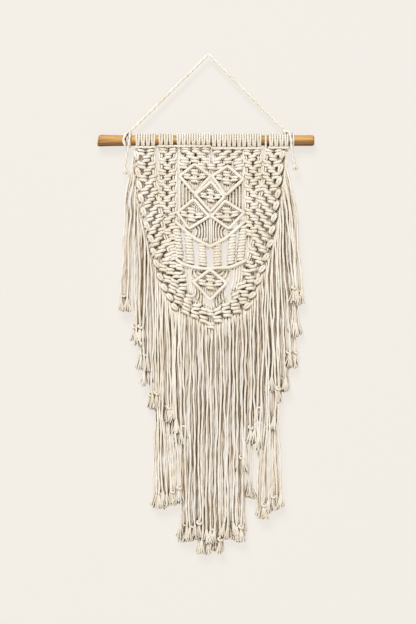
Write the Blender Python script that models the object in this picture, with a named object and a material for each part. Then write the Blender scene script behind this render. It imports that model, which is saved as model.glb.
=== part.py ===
"""Macrame wall hanging on a wooden rod.

Cotton cord is looped over a wooden rod with lark's head knots, knotted into a
shield-shaped net, and left to fall below its edge as a long, wavy fringe.  A
twisted cord, tied round both ends of the rod, carries it from one point.

Millimetres are used in the tables and turned into metres where a mesh is made.
The origin is the top of the hanger cord, +X is to the right as seen from the
front, the front faces -Y and +Z is up.
"""
import math

import bmesh
import bpy
from mathutils import Vector

MM = 0.001

# ---- driving dimensions, in millimetres -------------------------------------

STRAND = 4.6                # a 5 mm cotton cord, drawn a little thinner where it hangs
PARTING = 0.4               # gap left between a fringe's backing and the net

ROD_X = (-215.0, 206.0)     # ends of the rod
ROD_Z = -170.6              # its axis
ROD_RADIUS = 10.7
ROD_SIDES = 10
ROD_SLANT = 0.16            # lean of the cut at its left end

NET_Y = -4.5                # mid plane of the knotted net
KNOT_DEPTH = 9.0            # front to back, at a knot
STRAND_DEPTH = 4.0          # front to back, between knots
LANE_PITCH = 10.0           # strands of the net that are built
LANE_START = 3.5            # the middle one
FIRST_SIDE_LANE = 7.5       # where the side panels begin, in lanes from the middle
PAIR = 10.0                 # two strands side by side

LARK_RIDGE = 20.0           # two lark's heads, four turns of cord side by side
LARK_INNER = 11.1           # clear of the rod
LARK_CREST = 14.2
LARK_TROUGH = 12.9

BAR_WIDTH = 9.6             # a bar of double half hitches
BAR_RIDGE = 20.0            # four cords of the bar
ROW_WIDTH = 16.0            # a row of square knots, each two lanes wide
SINNET_RIDGE = 24.0
RIDGE = 0.16                # how far a ridge rises, as a share of the size

LEAF_WIDTH = 16.0           # the leaf knots along the slanting edges
LEAF_RIDGE = 25.0           # from one leaf knot to the next
FRINGE_LAYERS = (-10.0, -4.5, 1.0)
FRINGE_WAVE = 1.3
FRINGE_WAVE_LENGTH = 190.0
FRINGE_STEP = 60.0
FRINGE_DROP = 16.0          # from a strand's root down to where it hangs straight
FRINGE_KNOT = 7.0           # width of the small knot near each end
FRINGE_KNOT_UP = 11.0       # how far above the end it is tied

ROPE = 6.0                  # hanger cord, two plies
ROPE_FLAT = 0.72            # its thin way across, as a share of the wide way
ROPE_LAY = 26.0             # length of one full turn of a ply
TIE_SEAT = 0.35             # gap between the hanger cord's end and its tie
TIE_HALF_WIDTH = 4.6        # a turn of two cords round the rod
TIE_INNER = 11.3
TIE_SHOULDER = 14.3
TIE_OUTER = 15.7

COTTON = (0.80, 0.745, 0.655)
ROD_WOOD = (0.56, 0.345, 0.135)

# runs of lark's heads along the rod: left end, right end
SINGLE_TURN = (109.2, 113.4)
LARK_RUNS = (
    (-142.5, -102.5),
    (-97.5, -67.5),
    (-62.5, 103.5),
    SINGLE_TURN,
    (117.0, 156.5),
)

# leaf knots down the left and right edges: x, z
LEFT_EDGE = (
    (-140.0, -200.0), (-137.0, -233.6), (-134.5, -259.0), (-131.0, -284.0), (-126.0, -310.0),
    (-119.5, -337.0), (-111.5, -363.0), (-106.5, -388.0), (-101.0, -411.0), (-94.0, -436.5),
    (-86.0, -457.5), (-75.0, -476.0), (-66.0, -495.0),
)
RIGHT_EDGE = (
    (143.0, -198.0), (140.0, -226.0), (137.0, -250.0), (134.5, -275.0), (131.5, -298.0),
    (127.0, -321.5), (123.0, -345.5), (119.5, -372.0), (112.0, -398.0), (104.0, -421.0),
    (96.0, -445.0), (85.0, -472.0), (75.0, -493.0),
)

# rows of square knots: height at the slanting edge, then x and z where the row ends inside
LEFT_ROWS = (
    (-210.0, -62.0, -210.0), (-234.0, -62.0, -234.0), (-259.0, -62.0, -259.0), (-284.0, -62.0, -284.0),
    (-310.0, -62.0, -310.0), (-337.0, -63.0, -336.5), (-363.0, -68.0, -363.5), (-388.0, -66.0, -390.0),
    (-411.0, -52.0, -414.0), (-436.5, -47.0, -442.5), (-457.5, -34.0, -470.0),
)
RIGHT_ROWS = (
    (-205.0, 68.0, -205.0), (-226.0, 68.0, -226.0), (-250.0, 68.0, -250.0), (-275.0, 68.0, -275.0),
    (-298.0, 68.0, -298.0), (-321.5, 71.0, -321.5), (-345.5, 75.0, -345.5), (-372.0, 76.0, -372.0),
    (-398.0, 70.0, -400.0), (-421.0, 64.0, -424.0), (-445.0, 50.0, -452.0),
)
HEADER_BAR = (-142.0, 152.0)
HEADER_BAR_Z = -190.0
STRAND_TOP = -183.0         # inside the turns round the rod

# diamonds of double half hitches: top, right, bottom, left, each as x, z
DIAMONDS = {
    "upper_left": ((-26.5, -217.5), (4.5, -240.5), (-27.0, -275.0), (-56.0, -241.0)),
    "upper_right": ((37.5, -221.0), (67.5, -247.0), (33.5, -278.0), (7.0, -241.0)),
    "middle": ((5.0, -252.0), (30.5, -281.0), (4.0, -310.0), (-25.5, -277.0)),
    "lower_left": ((-30.0, -288.0), (0.0, -321.5), (-38.0, -343.0), (-60.5, -312.0)),
    "lower_right": ((33.5, -292.0), (69.0, -312.0), (39.5, -343.0), (5.5, -321.5)),
    "bottom": ((3.5, -422.5), (35.0, -449.0), (3.5, -481.5), (-29.0, -446.5)),
}

# bars of double half hitches that are not diamonds: x, z
BARS = {
    "v_bar": ((-62.0, -331.0), (-29.0, -360.0), (3.5, -377.5), (35.0, -360.0), (68.0, -331.0)),
    "wing_bar": ((-64.0, -397.0), (-51.5, -412.0), (-30.5, -417.5), (3.5, -421.5),
                 (42.5, -417.5), (71.0, -405.0)),
    "chevron": ((-74.0, -481.0), (-30.0, -499.5), (3.5, -509.5), (38.0, -497.5), (84.0, -477.0)),
}

# sinnets between the V bar and the wing bar: x, top, bottom, width
SINNETS = (
    (-58.0, -337.0, -402.0, 13.0),
    (-40.0, -350.0, -415.0, 15.0),
    (-10.5, -370.0, -420.0, 14.0),
    (16.5, -370.0, -420.0, 14.0),
    (41.5, -354.0, -417.0, 15.0),
    (64.5, -337.0, -407.0, 14.0),
)

# single strands below the wing bar: x, top, bottom
LOW_STRANDS = (
    (-50.5, -412.0, -492.0),
    (-29.5, -417.0, -500.0),
    (-8.0, -420.0, -505.0),
    (15.0, -420.0, -503.0),
    (35.5, -417.0, -498.0),
    (50.0, -415.0, -494.0),
)

# the strip that carries the middle of the fringe: x, z
LOWEST_ROW = ((-54.0, -502.0), (-28.0, -510.5), (3.5, -520.5), (36.0, -508.5), (63.0, -499.0))

# fringe: where its strands end, x against z, for the short and the long layer
LEFT_SHORT = ((-165.0, -495.0), (-145.0, -563.0), (-131.0, -610.0), (-107.0, -687.0), (-68.0, -735.0))
LEFT_LONG = ((-165.0, -498.0), (-130.0, -600.0), (-112.0, -690.0), (-106.0, -870.0), (-68.0, -885.0))
RIGHT_SHORT = ((76.0, -748.0), (96.0, -712.0), (122.0, -725.0), (145.0, -657.0), (165.0, -610.0),
               (182.0, -482.0))
RIGHT_LONG = ((76.0, -865.0), (90.0, -900.0), (118.0, -905.0), (141.0, -880.0), (147.0, -665.0),
              (182.0, -490.0))
MIDDLE_SHORT = ((-52.0, -930.0), (-24.0, -938.0), (0.0, -960.0), (44.0, -935.0), (64.0, -812.0))
MIDDLE_LONG = ((-52.0, -925.0), (-20.0, -968.0), (6.0, -982.0), (34.0, -952.0), (54.0, -930.0),
               (64.0, -805.0))

# strands in each part of the fringe, and where its outermost lanes hang
LEFT_COUNT = 22
RIGHT_COUNT = 22
MIDDLE_COUNT = 25
LEFT_LANES = (-165.0, -67.0)
RIGHT_LANES = (182.0, 76.0)
MIDDLE_LANES = (-52.0, 64.0)
EDGE_CLEARANCE = 11.6       # from the middle of a leaf knot out to the middle of its strand

# hanger cord: x, z
HANGER_TOP = (0.0, -3.0)
HANGER_LEFT = (-150.5, -150.5)
HANGER_RIGHT = (145.5, -147.5)

# ties: turn round the rod (x), neck up to the hanger cord (x, z), free tails (x, y, z)
TIES = {
    "left_tie": {
        "turn": -155.5,
        "neck": ((-155.5, -157.0),),
        "tails": (((-158.0, -15.0, -164.0), (-158.5, -16.6, -173.0), (-160.0, -14.5, -188.0),
                   (-163.5, -11.5, -209.0), (-167.0, -10.0, -235.0)),
                  ((-152.8, -15.0, -164.0), (-153.0, -16.6, -173.0), (-154.5, -14.5, -188.0),
                   (-157.0, -11.5, -209.0), (-160.5, -10.0, -232.0))),
    },
    "right_tie": {
        "turn": 162.5,
        "neck": ((150.0, -151.9), (157.0, -152.4), (162.5, -157.5)),
        "tails": (((160.5, -15.0, -164.0), (160.5, -16.6, -173.0), (161.5, -14.0, -188.0),
                   (163.5, -11.5, -203.0), (167.0, -10.0, -221.0)),),
    },
}


# ---- shapes ------------------------------------------------------------------

def clear_scene():
    for old in list(bpy.data.objects):
        bpy.data.objects.remove(old, do_unlink=True)


def collection(name):
    group = bpy.data.collections.new(name)
    bpy.context.scene.collection.children.link(group)
    return group


def material(name, colour, roughness):
    made = bpy.data.materials.new(name)
    made.use_nodes = True
    shader = made.node_tree.nodes["Principled BSDF"]
    shader.inputs["Base Color"].default_value = (*colour, 1.0)
    shader.inputs["Roughness"].default_value = roughness
    shader.inputs["Metallic"].default_value = 0.0
    return made


def at(table, key):
    """Value of a table of (key, value) rows at a key between its rows."""
    rows = sorted(table)
    if key <= rows[0][0]:
        return rows[0][1]
    for (k0, v0), (k1, v1) in zip(rows, rows[1:]):
        if key <= k1:
            return v0 + (v1 - v0) * (key - k0) / (k1 - k0)
    return rows[-1][1]


def loft(name, rings, closed=False):
    """One closed body through rings of points, capped at both ends or joined into a loop."""
    mesh = bpy.data.meshes.new(name)
    bm = bmesh.new()
    loops = [[bm.verts.new(Vector(point) * MM) for point in ring] for ring in rings]
    pairs = list(zip(loops, loops[1:]))
    if closed:
        pairs.append((loops[-1], loops[0]))
    else:
        bm.faces.new(loops[0])
        bm.faces.new(loops[-1])
    for low, high in pairs:
        for i in range(len(low)):
            j = (i + 1) % len(low)
            bm.faces.new((low[i], low[j], high[j], high[i]))
    bmesh.ops.recalc_face_normals(bm, faces=bm.faces)
    bm.to_mesh(mesh)
    bm.free()
    return bpy.data.objects.new(name, mesh)


def section(centre, side, across, deep, sides):
    """Ring of points round a centre: `across` along a side vector, `deep` along Y."""
    ring = []
    for i in range(sides):
        angle = 2.0 * math.pi * (i + 0.5) / sides
        offset = side * (math.cos(angle) * across / 2.0)
        offset += Vector((0.0, 1.0, 0.0)) * (math.sin(angle) * deep / 2.0)
        ring.append(Vector(centre) + offset)
    return ring


def walk(points, step, closed=False):
    """Evenly spaced points, and the directions there, along a path in the X-Z plane."""
    path = [Vector(point) for point in points]
    if closed:
        path.append(path[0])
    lengths = [(b - a).length for a, b in zip(path, path[1:])]
    total = sum(lengths)
    count = 2 * max(2, round(total / step / 2.0)) if closed else max(2, round(total / step))
    places = []
    for i in range(count if closed else count + 1):
        left = total * i / count
        for a, b, length in zip(path, path[1:], lengths):
            if left <= length + 1e-6:
                break
            left -= length
        places.append(a.lerp(b, min(1.0, left / length)))
    around = len(places)
    directions = []
    for i in range(around):
        before = places[(i - 1) % around] if closed else places[max(0, i - 1)]
        after = places[(i + 1) % around] if closed else places[min(around - 1, i + 1)]
        directions.append((after - before).normalized())
    return places, directions


def ridged_bar(name, points, width, deep, ridge, closed=False, sides=6, y=NET_Y, swell=RIDGE):
    """A knotted bar along a path, swelling once for each knot."""
    places, directions = walk([(x, 0.0, z) for x, z in points], ridge / 2.0, closed)
    rings = []
    square = 1.0 / math.cos(math.pi / sides)
    for i, (place, direction) in enumerate(zip(places, directions)):
        swelling = 1.0 + (swell if i % 2 else -swell)
        side = direction.cross(Vector((0.0, 1.0, 0.0))).normalized()
        centre = (place.x, y, place.z)
        rings.append(section(centre, side, width * swelling * square, deep * (swelling + 1.0) / 2.0, sides))
    return loft(name, rings, closed)


def strand(name, centres, across, deep, sides=4):
    """A strand hanging mostly down: level sections through centres, with widths or one width."""
    rings = []
    square = 1.0 / math.cos(math.pi / sides)
    widths = across if isinstance(across, list) else [across] * len(centres)
    for centre, width in zip(centres, widths):
        rings.append(section(centre, Vector((1.0, 0.0, 0.0)), width * square, deep * square, sides))
    return loft(name, rings)


def boolean(target, others, operation):
    """Apply an exact Boolean with each other object in turn, and drop those objects."""
    for other in others:
        bpy.context.scene.collection.objects.link(other)
        cut = target.modifiers.new("boolean", "BOOLEAN")
        cut.operation = operation
        cut.solver = "EXACT"
        cut.object = other
        bpy.context.view_layer.update()
        depsgraph = bpy.context.evaluated_depsgraph_get()
        result = bpy.data.meshes.new_from_object(target.evaluated_get(depsgraph))
        target.modifiers.clear()
        target.data = result
        bpy.data.objects.remove(other, do_unlink=True)


def union(name, bodies, shared):
    target = bodies[0]
    target.name = name
    bpy.context.scene.collection.objects.link(target)
    boolean(target, bodies[1:], "UNION")
    bpy.context.scene.collection.objects.unlink(target)
    target.data.name = name
    target.data.materials.clear()
    target.data.materials.append(shared)
    return target


# ---- the rod -----------------------------------------------------------------

def round_ring(x, radius, tilt=0.0):
    """Ring of points round the rod's axis; tilt leans its top along X."""
    ring = []
    for i in range(ROD_SIDES):
        angle = 2.0 * math.pi * (i + 0.5) / ROD_SIDES
        height = math.sin(angle) * radius
        ring.append((x + tilt * height, math.cos(angle) * radius, ROD_Z + height))
    return ring


def rod(wood):
    left, right = ROD_X
    rings = [
        round_ring(left, ROD_RADIUS * 0.86, ROD_SLANT),
        round_ring(left + 5.0, ROD_RADIUS, ROD_SLANT),
        round_ring(left + 45.0, ROD_RADIUS * 0.98),
        round_ring(right - 40.0, ROD_RADIUS * 0.98),
        round_ring(right - 4.0, ROD_RADIUS),
        round_ring(right, ROD_RADIUS * 0.84),
    ]
    made = loft("rod", rings)
    made.data.materials.append(wood)
    return made


# ---- the net -----------------------------------------------------------------

def lark_run(name, left, right):
    """Turns of cord round the rod: a sleeve that swells at each lark's head."""
    heads = max(1, round((right - left) / LARK_RIDGE))
    outer = []
    for i in range(2 * heads + 1):
        radius = LARK_CREST if i % 2 else LARK_TROUGH
        outer.append((left + (right - left) * i / (2.0 * heads), radius))
    rings = [round_ring(x, radius) for x, radius in outer]
    rings.append(round_ring(right, LARK_INNER))
    rings.append(round_ring(left, LARK_INNER))
    return loft(name, rings, closed=True)


def edge_x(edge, z):
    """Where an edge's middle line lies at a height."""
    return at(tuple((row[1], row[0]) for row in edge), z)


def net_strand(x, top, bottom, width=STRAND):
    return strand("strand", [(x, NET_Y, top), (x, NET_Y, bottom)], width, STRAND_DEPTH)


def knot_row(start, end, shift, width=ROW_WIDTH):
    """A row of square knots: one swelling for each, staggered from row to row."""
    low, high = sorted((start, end))
    first = math.ceil((low[0] - LANE_START) / LANE_PITCH + 0.5)
    seams = []
    x = LANE_START + (first - 0.5) * LANE_PITCH
    number = first
    while x < high[0] - 2.0:
        if x > low[0] + 2.0:
            seams.append((x, (number + shift) % 2))
        x += LANE_PITCH
        number += 1
    swells = [(low[0], 0)] + seams + [(high[0], 0)]
    rings = []
    for x, swollen in swells:
        size = 1.0 + (RIDGE if swollen else -RIDGE)
        z = low[1] + (high[1] - low[1]) * (x - low[0]) / (high[0] - low[0])
        across = width * size / math.cos(math.pi / 6)
        deep = KNOT_DEPTH * (size + 1.0) / 2.0
        rings.append(section((x, NET_Y, z), Vector((0.0, 0.0, 1.0)), across, deep, 6))
    return loft("row", rings)


def side_rows(edge, rows):
    """Rows of square knots from a slanting edge to the middle."""
    return [knot_row((edge_x(edge, height), height), (end_x, end_z), i)
            for i, (height, end_x, end_z) in enumerate(rows)]


def side_strands(edge, rows, outward):
    """Pairs of strands in a side panel, each down to the last row that it reaches."""
    made = []
    lane = LANE_START + outward * LANE_PITCH * FIRST_SIDE_LANE
    while outward * lane < outward * edge[0][0]:
        last = None
        for height, end_x, end_z in rows:
            edge_here = edge_x(edge, height)
            if outward * edge_here - LEAF_WIDTH / 2.0 > outward * lane > outward * end_x:
                slope = (end_z - height) / (end_x - edge_here)
                last = height + slope * (lane - edge_here)
        if last is not None:
            made.append(net_strand(lane, STRAND_TOP, last, PAIR))
        lane += outward * 2.0 * LANE_PITCH
    return made


def knotted_net(cotton):
    bodies = [knot_row((HEADER_BAR[0], HEADER_BAR_Z), (HEADER_BAR[1], HEADER_BAR_Z), 0, BAR_WIDTH)]
    bodies += [lark_run("lark_run", left, right) for left, right in LARK_RUNS]
    bodies += side_rows(LEFT_EDGE, LEFT_ROWS)
    bodies += side_rows(RIGHT_EDGE, RIGHT_ROWS)
    for name, corners in DIAMONDS.items():
        bodies.append(ridged_bar(name, corners, BAR_WIDTH, KNOT_DEPTH, BAR_RIDGE, closed=True))
    for name, path in BARS.items():
        bodies.append(ridged_bar(name, path, BAR_WIDTH, KNOT_DEPTH, BAR_RIDGE))
    for x, top, bottom, width in SINNETS:
        bodies.append(ridged_bar("sinnet", ((x, top), (x, bottom)), width, KNOT_DEPTH, SINNET_RIDGE))
    bodies += side_strands(LEFT_EDGE, LEFT_ROWS, -1)
    bodies += side_strands(RIGHT_EDGE, RIGHT_ROWS, 1)
    for number in range(-6, 7, 2):
        lane = LANE_START + number * LANE_PITCH
        bodies.append(net_strand(lane, STRAND_TOP, at(BARS["v_bar"], lane), PAIR))
    bodies += [net_strand(x, top, bottom) for x, top, bottom in LOW_STRANDS]
    left, right = SINGLE_TURN
    bodies.append(net_strand((left + right) / 2.0, STRAND_TOP, HEADER_BAR_Z, right - left - 0.2))
    return union("knotted_net", bodies, cotton)


# ---- the fringe --------------------------------------------------------------

def leaf_braid(name, edge, grow=0.0):
    """Leaf knots down a slanting edge, or the deeper cutter that parts the net from them."""
    deep = 3.0 * KNOT_DEPTH if grow else KNOT_DEPTH
    return ridged_bar(name, edge, LEAF_WIDTH + 2.0 * grow, deep, LEAF_RIDGE)


def lowest_row(name, grow=0.0):
    """The row of knots that carries the middle of the fringe, or its cutter."""
    deep = 3.0 * KNOT_DEPTH if grow else KNOT_DEPTH
    return ridged_bar(name, LOWEST_ROW, BAR_WIDTH + 2.0 * grow, deep, BAR_RIDGE)


def fringe_strand(root, top_lane, low_lane, y, bottom, phase):
    """One strand: out of its backing, over to its lane, then down in slow waves to its end knot."""
    root_x, root_z = root
    start_z = root_z - FRINGE_DROP
    fall = start_z - bottom - 2.0 * FRINGE_KNOT_UP
    count = max(3, round(fall / FRINGE_STEP))
    centres = [(root_x, NET_Y, root_z)]
    widths = [STRAND]
    for i in range(count + 1):
        down = i / count
        z = start_z - fall * down
        lane = top_lane + (low_lane - top_lane) * min(1.0, down * 1.6)
        wave = FRINGE_WAVE * math.sin(2.0 * math.pi * z / FRINGE_WAVE_LENGTH + phase) * min(1.0, 3.0 * down)
        centres.append((lane + wave, y, z))
        widths.append(STRAND)
    x = centres[-1][0]
    centres += [(x, y, bottom + FRINGE_KNOT_UP), (x, y, bottom)]
    widths += [FRINGE_KNOT, FRINGE_KNOT * 0.8]
    return strand("strand", centres, widths, STRAND)


def side_fringe(name, edge, lanes, short, long, count, outward, cotton):
    bodies = [leaf_braid(name, edge)]
    top_first = edge[0][0] + outward * EDGE_CLEARANCE
    top_last = edge[-1][0] + outward * EDGE_CLEARANCE
    for i in range(count):
        share = i / (count - 1)
        top_lane = top_first + (top_last - top_first) * share
        low_lane = lanes[0] + (lanes[1] - lanes[0]) * share
        root_x = top_lane - outward * EDGE_CLEARANCE
        layer = i % 3
        bottom = at(short if layer == 0 else long, low_lane)
        root = (root_x, at(edge, root_x))
        bodies.append(fringe_strand(root, top_lane, low_lane, FRINGE_LAYERS[layer], bottom, 0.7 * i))
    return union(name, bodies, cotton)


def middle_fringe(cotton):
    bodies = [lowest_row("fringe_middle")]
    for i in range(MIDDLE_COUNT):
        share = i / (MIDDLE_COUNT - 1)
        low_lane = MIDDLE_LANES[0] + (MIDDLE_LANES[1] - MIDDLE_LANES[0]) * share
        root = (low_lane, at(LOWEST_ROW, low_lane))
        layer = i % 3
        bottom = at(MIDDLE_SHORT if layer == 0 else MIDDLE_LONG, low_lane)
        bodies.append(fringe_strand(root, low_lane, low_lane, FRINGE_LAYERS[layer], bottom, 0.9 * i))
    return union("fringe_middle", bodies, cotton)


# ---- the hanger --------------------------------------------------------------

def hanger_cord(cotton):
    """Two plies laid together: an oval section that turns as it goes."""
    top_x, top_z = HANGER_TOP
    bend = ((top_x - 3.0, top_z - 2.0), HANGER_TOP, (top_x + 3.0, top_z - 2.0))
    route = [(x, 0.0, z) for x, z in (HANGER_LEFT, *bend, HANGER_RIGHT)]
    step = ROPE_LAY / 4.0
    places, directions = walk(route, step)
    rings = []
    for i, (place, direction) in enumerate(zip(places, directions)):
        side = direction.cross(Vector((0.0, 1.0, 0.0))).normalized()
        turn = 2.0 * math.pi * i * step / ROPE_LAY
        ring = []
        for k in range(6):
            angle = 2.0 * math.pi * k / 6.0
            wide = math.cos(angle) * ROPE / 2.0
            thin = math.sin(angle) * ROPE_FLAT * ROPE / 2.0
            across = wide * math.cos(turn) - thin * math.sin(turn)
            deep = wide * math.sin(turn) + thin * math.cos(turn)
            ring.append(place + side * across + Vector((0.0, deep, 0.0)))
        rings.append(ring)
    made = loft("hanger_cord", rings)
    made.data.materials.append(cotton)
    return made


def tie(name, hanger_end, sizes, cotton):
    """A turn of cord round the rod, its neck up to the hanger cord, and the free tails in front."""
    x = sizes["turn"]
    half = TIE_HALF_WIDTH
    profile = ((-half, TIE_INNER), (-half, TIE_SHOULDER), (-half * 0.45, TIE_OUTER),
               (half * 0.45, TIE_OUTER), (half, TIE_SHOULDER), (half, TIE_INNER))
    rings = [round_ring(x + along, radius) for along, radius in profile]
    bodies = [loft(name, rings, closed=True)]
    end = Vector((hanger_end[0], 0.0, hanger_end[1]))
    down = (end - Vector((HANGER_TOP[0], 0.0, HANGER_TOP[1]))).normalized()
    start = end + down * TIE_SEAT
    after = end + down * 3.0
    neck = ((start.x, start.z), (after.x, after.z)) + sizes["neck"]
    bodies.append(ridged_bar("neck", neck, ROPE, ROPE, 6.0, y=0.0, swell=0.0))
    for tail in sizes["tails"]:
        bodies.append(strand("tail", tail, STRAND, STRAND, sides=6))
    return union(name, bodies, cotton)


def main():
    clear_scene()
    group = collection("macrame_wall_hanging")
    cotton = material("cotton_cord", COTTON, 0.92)
    wood = material("rod_wood", ROD_WOOD, 0.6)
    pieces = [
        rod(wood),
        hanger_cord(cotton),
        knotted_net(cotton),
        side_fringe("fringe_left", LEFT_EDGE, LEFT_LANES, LEFT_SHORT, LEFT_LONG, LEFT_COUNT, -1, cotton),
        side_fringe("fringe_right", RIGHT_EDGE, RIGHT_LANES, RIGHT_SHORT, RIGHT_LONG, RIGHT_COUNT, 1, cotton),
        middle_fringe(cotton),
        tie("left_tie", HANGER_LEFT, TIES["left_tie"], cotton),
        tie("right_tie", HANGER_RIGHT, TIES["right_tie"], cotton),
    ]
    for piece in pieces:
        group.objects.link(piece)
    cutters = (leaf_braid("left_parting", LEFT_EDGE, PARTING),
               leaf_braid("right_parting", RIGHT_EDGE, PARTING),
               lowest_row("middle_parting", PARTING))
    boolean(bpy.data.objects["knotted_net"], cutters, "DIFFERENCE")


main()
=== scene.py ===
"""Macrame wall hanging on a wooden rod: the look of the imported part.

Every cord is swept along its own path: turns round the rod, square knots, smooth
carrier cords with hitches under them, leaf knots on the edges and a wavy fringe.
Tables are in millimetres, in the part's own frame: the origin is the top of the
hanger cord, the front faces -Y and +Z is up.
"""

import math

import bpy
import numpy as np
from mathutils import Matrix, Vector


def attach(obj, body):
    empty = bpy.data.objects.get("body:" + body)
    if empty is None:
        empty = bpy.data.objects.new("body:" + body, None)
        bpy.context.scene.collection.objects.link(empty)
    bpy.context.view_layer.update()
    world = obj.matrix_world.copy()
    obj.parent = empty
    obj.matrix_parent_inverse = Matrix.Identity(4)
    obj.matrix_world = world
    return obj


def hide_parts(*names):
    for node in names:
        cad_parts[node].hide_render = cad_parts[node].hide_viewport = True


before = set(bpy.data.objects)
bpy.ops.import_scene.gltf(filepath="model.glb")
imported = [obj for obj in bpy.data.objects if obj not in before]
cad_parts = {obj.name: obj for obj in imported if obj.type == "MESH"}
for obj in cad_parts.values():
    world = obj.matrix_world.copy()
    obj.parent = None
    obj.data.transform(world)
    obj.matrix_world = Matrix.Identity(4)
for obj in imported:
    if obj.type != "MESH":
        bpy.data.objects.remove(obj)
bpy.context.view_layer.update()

MM = 0.001

# ---- sizes, in millimetres ----

CORD = 2.35         # radius of the 5 mm cotton cord, pulled tight
CARRIER = 3.35      # radius of the smooth cords that outline the diamonds
BAR = 3.5           # radius of the two long bars
PLY_LAY = 15.0      # length of one full turn of a cord's three plies
STEP = 2.6          # from one section of a cord to the next, in a knot
LONG_STEP = 4.2     # the same along the fringe

ROD_Z = -170.6      # height of its axis
ROD_RADIUS = 10.7
ROD_X = (-215.0, 206.0)             # its ends
CRACK_LONG = 34.0   # how far the splits run in from the rod's left end
ROD_LEAN = 0.16     # lean of the cut at its left end
ROD_SIDES = 72      # faces round the rod
# splits in its left end: angle round the rod, and depth as a share of its radius
CRACKS = ((0.35, 0.30), (2.72, 0.34), (3.42, 0.30), (4.4, 0.26))
CRACK_WIDE = 0.10   # half width of a split, as an angle
TURN = 12.4         # from the rod's axis to the middle of a cord round it

NET_Y = -4.5        # mid depth of the net
KNOT_CORD = 3.25    # radius of the cord in a square knot, where it is packed
KNOT_HALF = 4.8     # middle of a square knot out to its side loops
KNOT_REACH = 6.6    # middle of a square knot out to where its cords leave
KNOT_SIDE = 9.3     # half the distance between two square knots in a row
KNOT_HIGH = 11.4    # height of a square knot
LARK_CORD = 2.5     # radius of the cord in a lark's head
BIGHT_CORD = 2.4    # radius of the cord that lies across a lark's head
HITCH = 1.75        # radius of a half hitch, where it shows
THIN_STRAND = 1.9   # radius of the strands side by side between bars
SHORT_STRAND = 2.0  # radius of the strands inside a diamond
LEAF_CORD = 2.9     # radius of the two cords in a leaf knot
BACKING = 4.6       # radius of the hidden cord that the leaf knots sit on

LANE = 3.9          # from one strand of a tuft to the next
SIDE_LAYERS = (-9.0, -3.5, 1.5)     # depths of the side fringes' strands
MIDDLE_LAYERS = (-8.0, -3.0, 1.0)   # depths of the middle fringe's strands
END_KNOT = 2.7      # radius of the cord in the knot above a frayed end
FIBRES = 16         # bundles of loose fibres at a strand's end
FIBRE = 1.6         # radius of one bundle
FRAYED_LONG = 25.0  # how long they are

# the hanger cord, with closer points at its peak: x, z
HANGER_ROUTE = ((-150.5, -150.5), (-120.0, -120.4), (-90.0, -90.8), (-60.0, -61.2), (-36.0, -37.6),
                (-18.0, -19.8), (-9.0, -10.9), (-3.0, -5.0), (0.0, -3.0), (3.0, -5.0), (9.0, -11.0),
                (18.0, -20.0), (36.0, -38.0), (60.0, -62.0), (88.0, -90.0), (117.0, -119.0),
                (145.5, -147.5))
ROPE = 3.0          # radius of the twisted hanger cord
ROPE_LAY = 26.0     # length of one full turn of its two plies
TAIL = 3.1          # radius of the hanger's free ends
TIE_CORD = 2.2      # radius of the cord in its small knots

WALL_Y = 17.5       # just clear of the turns behind the rod
FLOOR_Z = -1350.0
FLOOR_HALF = (4000.0, 5000.0)       # half its width and length
WALL_HALF = 3000.0
WALL_TOP = 1800.0
CAMERA_PLACE = (-0.001, -2.873, -0.505)     # metres
CAMERA_LENS = 85.0

# lark's heads: left end of the run, right end, how many
LARK_RUNS = (
    (-142.5, -102.5, 4),
    (-97.5, -67.5, 3),
    (-62.5, 4.5, 7),
    (6.0, 103.5, 10),
    (117.0, 156.5, 4),
)
SINGLE_TURN = 111.3

# bars of bights below the rod: left end, right end, height
BIGHTS = (
    (-141.5, -103.5, -185.0),
    (-97.0, -68.5, -183.0),
    (-65.0, -57.0, -183.0),
    (-54.5, 3.5, -183.0),
    (7.0, 103.0, -187.0),
    (118.0, 155.5, -186.0),
)

# side panels: middle of each row of two square knots, x and z
LEFT_OUTER = ((-122.0, -194.0), (-120.0, -220.0), (-118.0, -245.0), (-114.5, -270.0), (-109.5, -295.5),
              (-105.0, -321.5), (-100.0, -347.0), (-94.0, -371.0), (-87.5, -394.0))
LEFT_INNER = ((-79.0, -191.0), (-79.5, -212.0), (-80.0, -233.5), (-80.0, -254.5), (-80.5, -275.5),
              (-80.5, -296.0), (-80.0, -317.0), (-79.5, -338.0), (-80.0, -359.5))
LEFT_COLUMN = ((-71.5, -374.5), (-69.0, -386.0), (-66.5, -398.0))
RIGHT_OUTER = ((127.0, -194.0), (124.0, -217.0), (121.5, -240.0), (117.5, -263.5), (113.0, -287.5),
               (108.5, -311.5), (105.5, -335.5), (101.0, -359.5), (95.5, -384.0), (89.0, -408.0))
RIGHT_INNER = ((84.5, -194.0), (86.5, -217.5), (87.5, -241.0), (88.0, -264.5), (88.5, -287.5),
               (88.5, -310.5), (88.0, -333.5))
RIGHT_COLUMN = ((80.0, -351.0),)

# strands down the inner sides of the panels
LEFT_BORDER = ((-62.5, -296.0), (-64.5, -312.0), (-65.5, -335.0), (-67.5, -352.0), (-67.0, -366.0),
               (-66.0, -380.0))
RIGHT_BORDER = ((70.5, -272.0), (72.0, -300.0), (75.5, -330.0), (78.0, -355.0), (77.5, -385.0),
                (73.0, -408.0))

LEFT_EDGE = ((-140.0, -200.0), (-137.0, -233.6), (-134.5, -259.0), (-131.0, -284.0), (-126.0, -310.0),
             (-119.5, -337.0), (-111.5, -363.0), (-106.5, -388.0), (-101.0, -411.0), (-94.0, -436.5),
             (-86.0, -457.5), (-75.0, -476.0), (-66.0, -495.0))
RIGHT_EDGE = ((143.0, -198.0), (140.0, -226.0), (137.0, -250.0), (134.5, -275.0), (131.5, -298.0),
              (127.0, -321.5), (123.0, -345.5), (119.5, -372.0), (112.0, -398.0), (104.0, -421.0),
              (96.0, -445.0), (85.0, -472.0), (75.0, -493.0))

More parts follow.
